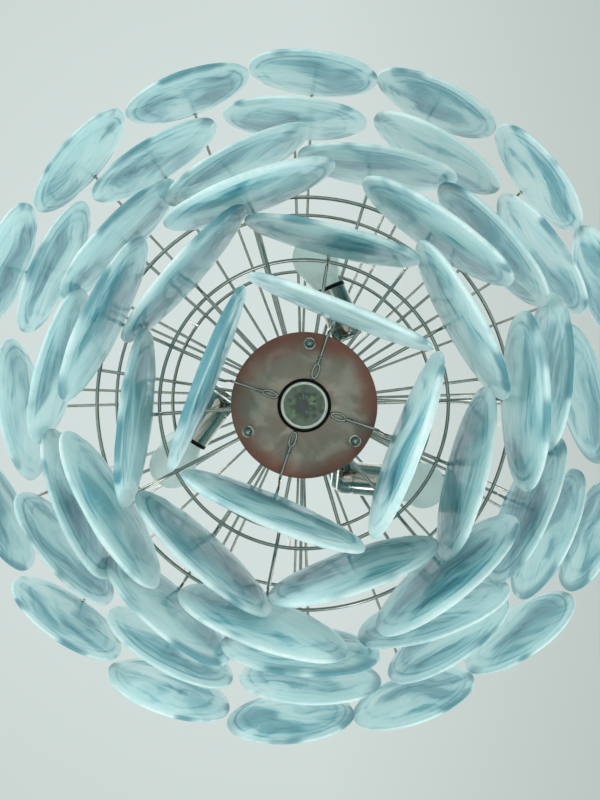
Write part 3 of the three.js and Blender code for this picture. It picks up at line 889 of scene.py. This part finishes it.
mirror_coat = Finish("dichroic_mirror", Metallic=0.5)
coat_place = mirror_coat.coordinates()
coat_parts = mirror_coat.node("ShaderNodeSeparateXYZ", {}, {0: coat_place}).socket.node.outputs
coat_angle = mirror_coat.node(
    "ShaderNodeMath",
    {"operation": "ARCTAN2"},
    {0: Value(mirror_coat, coat_parts[1]), 1: Value(mirror_coat, coat_parts[0])},
)
coat_out = mirror_coat.length(mirror_coat.stretched(coat_place, (1, 1, 0)))
FACETS = 28
facets_per_radian = FACETS / (2 * math.pi)
facet_turn = mirror_coat.node("ShaderNodeMath", {"operation": "FLOOR"}, {0: coat_angle * facets_per_radian})
facet_step = mirror_coat.node("ShaderNodeMath", {"operation": "FLOOR"}, {0: coat_out * 240})
facet = mirror_coat.node(
    "ShaderNodeTexWhiteNoise",
    {"noise_dimensions": "3D"},
    {0: mirror_coat.node("ShaderNodeCombineXYZ", {}, {0: facet_turn, 1: facet_step})},
)
# Painted reflection: the bowl runs from dark at its middle to pale towards its mouth, with a tone of its
# own on each facet and in patches, standing for what the facets reflect. The greenish tint is the coat's
# own.
reflection_patches = mirror_coat.noise(coat_place, 70, 2, 0.5)
painted_reflection_share = reflection_patches * 0.8 + facet * 0.3 + coat_out * 26 - 0.4
painted_reflection_colours = [
    (0.2, (0.0, 0.03, 0.08)),
    (0.34, (0.06, 0.16, 0.1)),
    (0.5, (0.5, 0.66, 0.3)),
    (0.7, (0.95, 1.0, 0.9)),
]
mirror_coat.feed(
    Base_Color=mirror_coat.node("ShaderNodeValToRGB", {"stops": painted_reflection_colours}, {0: painted_reflection_share}),
    Roughness=facet * 0.2 + 0.06,
)
lamp_low, lamp_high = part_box("spot_lamp")
BOWL_DEPTH = 0.018
BOWL_MOUTH = SPOT_RADIUS * 0.9
BOWL_THROAT = 0.004
BOWL_WALL = 0.0012
BOWL_STEPS = 9
NECK_RADIUS = 0.0094
front = lamp_low.z + 0.0015
bowl_inside = []
for step in range(BOWL_STEPS + 1):
    share = step / BOWL_STEPS
    radius = BOWL_MOUTH * (1 - share) + BOWL_THROAT * share
    bowl_inside.append((radius, front + 0.0025 + BOWL_DEPTH * (1 - (1 - share) ** 2)))
bowl_outside = [(radius + BOWL_WALL, height) for radius, height in reversed(bowl_inside)]
bowl = turned(bowl_inside + bowl_outside, FACETS)
bowl.shade_flat()
neck_low = bowl_inside[-1][1] + 0.001
neck = turned([
    (0, neck_low),
    (NECK_RADIUS, neck_low),
    (NECK_RADIUS, lamp_high.z),
    (0, lamp_high.z),
], 32)
finish_piece("spot_mirror_bowl", bowl, mirror_coat)
finish_piece("spot_base", neck, black)

clear = Finish("clear_glass", Transmission_Weight=1.0, IOR=1.45)
clear_place = clear.coordinates()
clear_haze = clear.noise(clear_place, 130, 3)
clear.feed(
    Base_Color=clear.mix(clear_haze, (0.9, 0.96, 0.93), (0.98, 1.0, 0.99)),
    Roughness=clear_haze * 0.05 + 0.01,
)
front_glass = turned([
    (0, lamp_low.z),
    (SPOT_RADIUS * 0.6, lamp_low.z + 0.0003),
    (SPOT_RADIUS - 0.0012, lamp_low.z + 0.0012),
    (SPOT_RADIUS, lamp_low.z + 0.0024),
    (SPOT_RADIUS, lamp_low.z + 0.004),
    (0, lamp_low.z + 0.003),
], 64)
capsule = turned([
    (0, front + 0.006),
    (0.0012, front + 0.0072),
    (0.0044, front + 0.010),
    (0.0048, front + 0.012),
    (0.0048, front + 0.022),
    (0, front + 0.022),
], 32)
finish_piece(
    "spot_front_glass", merged([front_glass, capsule]), clear, "frame", ["spot_lamp"]
)
rim_steel = turned([
    (SPOT_RADIUS - 0.0007, lamp_low.z + 0.0003),
    (SPOT_RADIUS + 0.0002, lamp_low.z + 0.0003),
    (SPOT_RADIUS + 0.0002, lamp_low.z + 0.0012),
    (SPOT_RADIUS - 0.0007, lamp_low.z + 0.0009),
], 96)
finish_piece("spot_bright_lip", rim_steel, chrome)
spot_holder = frame["nodes"]["spot_holder"]
spot_holder.data.materials.clear()
spot_holder.data.materials.append(black.material)

# ---------------------------------------------------------------- lowest arms
# Four wires start in loops under the plate, run out beyond its rim, drop and end in hooks.
LINK_NEAR = 0.0275
LINK_FAR = 0.042
LINK_HALF = 0.003
LINK_WIRE = 0.0013
LINK_STEPS = 24
ARM_RADIUS = 0.0014
ARM_BEND = 0.005
TWIST_WIRE = 0.0007
TWIST_RADIUS = 0.0019
TWIST_LENGTH = 0.010
TWIST_STEPS = 32
TWIST_TURNS = 3
link_middle = (LINK_FAR + LINK_NEAR) / 2
link_half_length = (LINK_FAR - LINK_NEAR) / 2
for number in (1, 2, 3, 4):
    node = f"lowest_arm_{number}"
    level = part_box(node)[1].z - WIRE_RADIUS
    joint = next(j for j in frame["joints"] if j["child"] == f"disc_1_0{number}")
    hinge = Vector(joint["pos_m"])
    angle = math.degrees(math.atan2(hinge.y, hinge.x))
    down = hinge.xy.length - HOOK_REACH
    corners = [(LINK_FAR - 0.001, level), (down, level), *hook_corners(hinge.xy.length, hinge.z)]
    arm = wires(corners, 1, angle, ARM_RADIUS, ARM_BEND)
    oval = []
    for step in range(LINK_STEPS):
        turn = 2 * math.pi * step / LINK_STEPS
        along = link_middle + link_half_length * math.cos(turn)
        oval.append((along, LINK_HALF * math.sin(turn), level))
    link = wire_tree.made(
        line_mesh(oval, True),
        Count=1,
        First=math.radians(angle),
        Wire=LINK_WIRE,
        Bend=0.0,
        Material=chrome.material,
    )
    twist = []
    for step in range(TWIST_STEPS + 1):
        turn = 2 * math.pi * TWIST_TURNS * step / TWIST_STEPS
        along = LINK_FAR - 0.002 + TWIST_LENGTH * step / TWIST_STEPS
        aside = TWIST_RADIUS * math.cos(turn)
        twist.append((along, aside, level + TWIST_RADIUS * math.sin(turn)))
    wrapping = wire_tree.made(
        line_mesh(twist),
        Count=1,
        First=math.radians(angle),
        Wire=TWIST_WIRE,
        Bend=0.0,
        Material=chrome.material,
    )
    finish_piece(node + "_wire", merged([link, wrapping, arm]), chrome, "frame", [node])

# ---------------------------------------------------------------- pear bulbs and their holders
# Six frosted pear bulbs lie flat in chromed sleeves with black end rims: three between the two
# middle wheels and three above them. Wire arms from collars on the stem carry the sleeves.
frosted = Finish("frosted_glass", Transmission_Weight=0.6, IOR=1.1)
frost_place = frosted.coordinates()
frost_cloud = frosted.noise(frost_place, 18, 3)
frosted.feed(
    Base_Color=frosted.mix(frost_cloud, (0.84, 0.9, 0.87), (0.94, 0.98, 0.96)),
    Roughness=frosted.noise(frost_place, 900, 2) * 0.15 + 0.38,
)
frosted.bump(frosted.noise(frost_place, 1500, 2), 0.1, 0.0002)
frosted.let_light_through(frost_cloud * 0.3 + 0.1, (0.9, 0.96, 0.94))

HOLDER_RADIUS = 0.017
HOLDER_LENGTH = 0.056
BULB_RADIUS = 0.0235
BULB_NECK = 0.0132
BULB_START = 0.0443
BULB_LENGTH = 0.068
BULB_STEPS = 40
sleeve = turned([
    (0, 0),
    (HOLDER_RADIUS - 0.003, 0.0),
    (HOLDER_RADIUS - 0.0008, 0.0022),
    (HOLDER_RADIUS, 0.006),
    (HOLDER_RADIUS, 0.014),
    (HOLDER_RADIUS - 0.0006, 0.0146),
    (HOLDER_RADIUS - 0.0006, 0.0158),
    (HOLDER_RADIUS, 0.0164),
    (HOLDER_RADIUS, HOLDER_LENGTH - 0.004),
    (HOLDER_RADIUS - 0.0015, HOLDER_LENGTH - 0.004),
    (HOLDER_RADIUS - 0.0015, HOLDER_LENGTH - 0.012),
    (0, HOLDER_LENGTH - 0.012),
], 64)
end_rim = turned([
    (HOLDER_RADIUS - 0.0012, HOLDER_LENGTH - 0.0038),
    (HOLDER_RADIUS, HOLDER_LENGTH - 0.0038),
    (HOLDER_RADIUS, HOLDER_LENGTH),
    (HOLDER_RADIUS - 0.0012, HOLDER_LENGTH),
], 64)


def bulb_radius(share):
    """The pear's outline from its neck at 0 to its crown at 1."""
    round_part = 1 - BULB_RADIUS / BULB_LENGTH
    if share > round_part:
        return BULB_RADIUS * math.sqrt(max(0, 1 - ((share - round_part) / (1 - round_part)) ** 2))
    ease = (1 - math.cos(math.pi * max(0, (share - 0.16) / (round_part - 0.16)))) / 2
    return BULB_NECK + (BULB_RADIUS - BULB_NECK) * ease


bulb_profile = [(0, BULB_START)]
for step in range(BULB_STEPS):
    share = step / BULB_STEPS
    bulb_profile.append((bulb_radius(share), BULB_START + BULB_LENGTH * share))
bulb_profile.append((0, BULB_START + BULB_LENGTH))
pear = turned(bulb_profile, 64)

LAMP_PLACES = {  # the radius and turn of a sleeve's base, and of the foot of its wire arm
    "lower": {"base": 0.084, "base_turn": 29, "foot": 0.0906, "foot_turn": 22.6},
    "upper": {"base": 0.091, "base_turn": 32, "foot": 0.097, "foot_turn": 25.5},
}
ARM_WIRE = 0.0025
ARM_CORNER = 0.006
COLLAR_RADIUS = 0.014
COLLAR_HALF = 0.003
LAMP_SLANT = 30  # how far each sleeve points back from its own angle
for level, facts in LAMP_PLACES.items():
    for number in range(LAMP_COUNT):
        low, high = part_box(f"lamp_holder_{level}_{number + 1}")
        angle = LAMP_FIRST + lamp_step * number
        turn = math.radians(angle + facts["base_turn"])
        place = Matrix.Translation((
            facts["base"] * math.cos(turn), facts["base"] * math.sin(turn), (low.z + high.z) / 2
        ))
        place @= Matrix.Rotation(math.radians(angle - LAMP_SLANT), 4, "Z")
        place @= Matrix.Rotation(math.pi / 2, 4, "Y")
        for name, shape, finish, slot, nodes in (
            ("sleeve", sleeve, chrome, "chrome", [f"lamp_holder_{level}_{number + 1}"]),
            ("end_rim", end_rim, black, "black_metal", []),
            ("pear", pear, frosted, "frosted_glass", [f"bulb_{level}_{number + 1}"]),
        ):
            mesh = shape.copy()
            mesh.transform(place)
            finish_piece(f"{name}_{level}_{number + 1}", mesh, finish, "frame", nodes)

    node = f"lamp_bracket_{level}"
    bracket_low, bracket_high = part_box(node)
    if level == "lower":
        middle = bracket_high.z - COLLAR_HALF
        foot = high.z + GAP
    else:
        middle = bracket_low.z + COLLAR_HALF
        foot = low.z - GAP
    collar = chamfered_disc(COLLAR_RADIUS, middle - COLLAR_HALF, middle + COLLAR_HALF, BORE)
    corners = [(0.012, middle), (facts["foot"], middle), (facts["foot"], foot)]
    arms = wires(corners, LAMP_COUNT, LAMP_FIRST + facts["foot_turn"], ARM_WIRE, ARM_CORNER)
    finish_piece(node + "_arms", merged([collar, arms]), chrome, "frame", [node])

# ---------------------------------------------------------------- room
# A pale room: a plain floor well below the lamp, a pale backdrop and soft lights from two sides.
# What the chrome and glass reflect has darker walls between a bright ceiling and the floor.
floor_mesh = bpy.data.meshes.new("floor")
FLOOR_SIZE = 30
FLOOR_DROP = 3.4
floor_level = cad_low.z - FLOOR_DROP
floor_corners = [
    (FLOOR_SIZE * across, FLOOR_SIZE * along, floor_level)
    for across, along in ((-1, -1), (1, -1), (1, 1), (-1, 1))
]
floor_mesh.from_pydata(floor_corners, [], [(0, 1, 2, 3)])
floor = bpy.data.objects.new("floor", floor_mesh)
scene.collection.objects.link(floor)
floor_finish = Finish("pale_floor", Roughness=0.8)
floor_finish.feed(Base_Color=floor_finish.mix(
    floor_finish.noise(floor_finish.coordinates(), 3, 2), (0.6, 0.62, 0.6), (0.66, 0.68, 0.66)
))
floor_mesh.materials.append(floor_finish.material)
floor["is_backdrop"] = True

# The walls, floor and ceiling that the pieces reflect, by how high a ray points.
ROOM_COLOURS = [
    (0.0, (0.9, 0.92, 0.9)),
    (0.3, (0.5, 0.52, 0.5)),
    (0.4, (0.02, 0.022, 0.018)),
    (0.64, (0.06, 0.066, 0.055)),
    (0.84, (1.3, 1.36, 1.33)),
]
BACKDROP_BRIGHT = (0.665, 0.75, 0.73)
BACKDROP_DIM = (0.5, 0.565, 0.54)
world = bpy.data.worlds.new("room")
scene.world = world
world.use_nodes = True


class Room(Finish):
    """The world's nodes, written as a finish's are."""

    def __init__(self, tree):
        self.tree = tree
        self.shader = tree.nodes["Background"]

    def spread(self, value, low, high, first, last):
        """A value carried from low to high over to first to last, and held beyond them."""
        places = {0: value, 1: low, 2: high, 3: first, 4: last}
        return self.node("ShaderNodeMapRange", {}, places)


air = Room(world.node_tree)
ray = air.node("ShaderNodeTexCoord", {}, {}, "Generated")
ray_split = air.node("ShaderNodeSeparateXYZ", {}, {0: ray}).socket.node.outputs
ray_side = Value(air, ray_split[0])
ray_rise = Value(air, ray_split[2])
seen = air.node("ShaderNodeLightPath", {}, {}, "Is Camera Ray")
reflected = air.node(
    "ShaderNodeValToRGB", {"stops": ROOM_COLOURS}, {0: air.spread(ray_rise, -1, 1, 0, 1)}
)
# The backdrop is dimmer to the +X side and where it is far from straight above.
dim = air.spread(ray_side, 0.03, 0.36, 0, 0.72) + air.spread(ray_rise, 1.0, 0.86, 0, 0.4)
backdrop = air.mix(dim, BACKDROP_BRIGHT, BACKDROP_DIM)
air.feed(Color=air.mix(seen, reflected, backdrop))

LIGHT_AIM = Vector((0, 0, -0.35))
for name, place, power, size in (
    ("window_light", (-2.4, -1.9, -1.6), 90, 1.8),
    ("side_light", (2.6, 1.2, -1.2), 40, 1.4),
    ("low_light", (0.3, 2.3, -2.2), 40, 1.6),
):
    lamp_data = bpy.data.lights.new(name, "AREA")
    lamp_data.energy = power
    lamp_data.size = size
    lamp = bpy.data.objects.new(name, lamp_data)
    scene.collection.objects.link(lamp)
    lamp.location = place
    lamp.rotation_mode = "QUATERNION"
    lamp.rotation_quaternion = (LIGHT_AIM - Vector(place)).to_track_quat("-Z", "Y")

scene.view_settings.view_transform = "Standard"

low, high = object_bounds()
